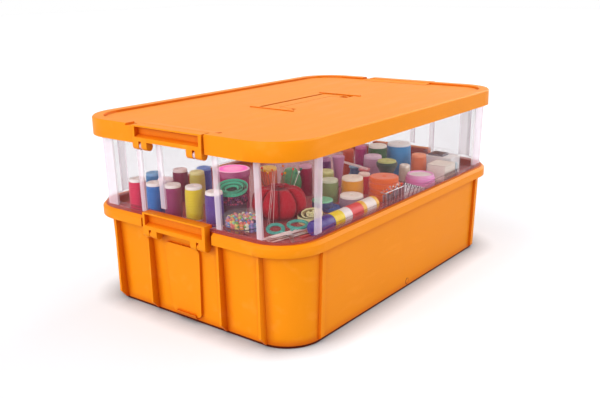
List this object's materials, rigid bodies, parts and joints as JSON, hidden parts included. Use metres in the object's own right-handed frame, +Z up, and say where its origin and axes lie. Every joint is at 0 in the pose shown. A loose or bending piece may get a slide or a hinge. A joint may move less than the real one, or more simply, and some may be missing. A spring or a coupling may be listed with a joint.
{
  "type": "thread storage box",
  "caption": "Two-storey carrying box with a deep tub, a clear lift-out tray of thread spools and notions, a handled lid and snap latches at both ends.",
  "frame": {"origin": "middle of the tub's footprint, on the surface that it stands on", "axes": "+Z up, +X along the box towards its far latch end, +Y across it"},
  "size_m": [0.485, 0.315, 0.2213],
  "materials": {
    "orange_shell": "satin moulded polypropylene",
    "clear_shell": "clear moulded plastic, glossy",
    "hinge_steel": "plain drawn steel",
    "thread_red": "soft textile",
    "thread_blue": "soft textile",
    "thread_maroon": "soft textile",
    "thread_yellow": "soft textile",
    "thread_purple": "soft textile",
    "thread_sky": "soft textile",
    "thread_mauve": "soft textile",
    "thread_khaki": "soft textile",
    "thread_orange": "soft textile",
    "thread_terracotta": "soft textile",
    "thread_crimson": "soft textile",
    "thread_magenta": "soft textile",
    "thread_green": "soft textile",
    "thread_pale": "soft textile",
    "moss_yarn": "soft textile",
    "beaded_roll": "soft textile",
    "ribbon_coil": "soft textile",
    "pincushion": "soft textile",
    "pincushion_crown": "soft textile",
    "tape_roll": "soft textile",
    "wound_stack": "soft textile",
    "pine_roll": "soft textile",
    "reels_white": "moulded plastic",
    "caps_tinted": "moulded plastic",
    "caps_cream": "moulded plastic",
    "caps_grey": "moulded plastic",
    "tin_body": "moulded plastic",
    "tin_lid": "moulded plastic",
    "beads": "moulded plastic",
    "pink_tin": "moulded plastic",
    "pink_tin_top": "moulded plastic",
    "blue_disc": "moulded plastic",
    "green_disc": "moulded plastic",
    "pine_roll_face": "moulded plastic",
    "bobbins_blue": "moulded plastic",
    "bobbins_pink": "moulded plastic",
    "scissor_handles": "moulded plastic",
    "glue_tube": "moulded plastic",
    "glue_cap": "moulded plastic",
    "pin_case": "moulded plastic",
    "pin_card": "moulded plastic",
    "cream_box": "moulded plastic",
    "blue_box": "moulded plastic",
    "clear_plastic": "clear moulded plastic",
    "tool_steel": "polished steel"
  },
  "bodies": {
    "base": {"base_tub": "orange_shell"},
    "tray": {"clear_tray": "clear_shell", "bead_jar": "clear_plastic", "bead_jar_lid": "clear_plastic", "beaded_roll": "beaded_roll", "beads": "beads", "blue_box": "blue_box", "blue_disc": "blue_disc", "bobbins_blue": "bobbins_blue", "bobbins_pink": "bobbins_pink", "caps_cream": "caps_cream", "caps_grey": "caps_grey", "caps_tinted": "caps_tinted", "cream_box": "cream_box", "glue_cap": "glue_cap", "glue_tube": "glue_tube", "green_disc": "green_disc", "long_tweezers": "tool_steel", "moss_yarn": "moss_yarn", "needle_box": "clear_plastic", "pin_card": "pin_card", "pin_case": "pin_case", "pincushion": "pincushion", "pincushion_crown": "pincushion_crown", "pine_roll": "pine_roll", "pine_roll_face": "pine_roll_face", "pink_tin": "pink_tin", "pink_tin_top": "pink_tin_top", "reels_white": "reels_white", "ribbon_coil": "ribbon_coil", "scissor_blade_lower": "tool_steel", "scissor_blade_upper": "tool_steel", "scissor_handles": "scissor_handles", "scissor_screw": "tool_steel", "tape_roll": "tape_roll", "thread_blue": "thread_blue", "thread_crimson": "thread_crimson", "thread_green": "thread_green", "thread_khaki": "thread_khaki", "thread_magenta": "thread_magenta", "thread_maroon": "thread_maroon", "thread_mauve": "thread_mauve", "thread_orange": "thread_orange", "thread_pale": "thread_pale", "thread_purple": "thread_purple", "thread_red": "thread_red", "thread_sky": "thread_sky", "thread_terracotta": "thread_terracotta", "thread_yellow": "thread_yellow", "tin_body": "tin_body", "tin_lid": "tin_lid", "tweezers": "tool_steel", "wound_stack": "wound_stack"},
    "lid": {"lid": "orange_shell", "handle_pins": "hinge_steel"},
    "handle": {"handle": "orange_shell"},
    "latch_upper_near": {"latch_upper_near": "orange_shell"},
    "latch_upper_far": {"latch_upper_far": "orange_shell"},
    "latch_lower_near": {"latch_lower_near": "orange_shell"},
    "latch_lower_far": {"latch_lower_far": "orange_shell"}
  },
  "joints": [
    {"name": "tray_lift", "type": "slide", "parent": "base", "child": "tray", "axis": [0, 0, 1], "range_m": [0, 0.13]},
    {"name": "lid_lift", "type": "slide", "parent": "tray", "child": "lid", "axis": [0, 0, 1], "range_m": [0, 0.06]},
    {"name": "handle_fold", "type": "hinge", "parent": "lid", "child": "handle", "pos_m": [0, -0.016, 0.2136], "axis": [1, 0, 0], "range_deg": [0, 90]},
    {"name": "upper_latch_near", "type": "hinge", "parent": "tray", "child": "latch_upper_near", "pos_m": [-0.2381, 0, 0.1987], "axis": [0, -1, 0], "range_deg": [0, 150]},
    {"name": "lower_latch_near", "type": "hinge", "parent": "base", "child": "latch_lower_near", "pos_m": [-0.2331, 0.0035, 0.0985], "axis": [0, -1, 0], "range_deg": [0, 150]},
    {"name": "upper_latch_far", "type": "hinge", "parent": "tray", "child": "latch_upper_far", "pos_m": [0.2381, 0, 0.1987], "axis": [0, 1, 0], "range_deg": [0, 150]},
    {"name": "lower_latch_far", "type": "hinge", "parent": "base", "child": "latch_lower_far", "pos_m": [0.2331, -0.0035, 0.0985], "axis": [0, 1, 0], "range_deg": [0, 150]}
  ]
}
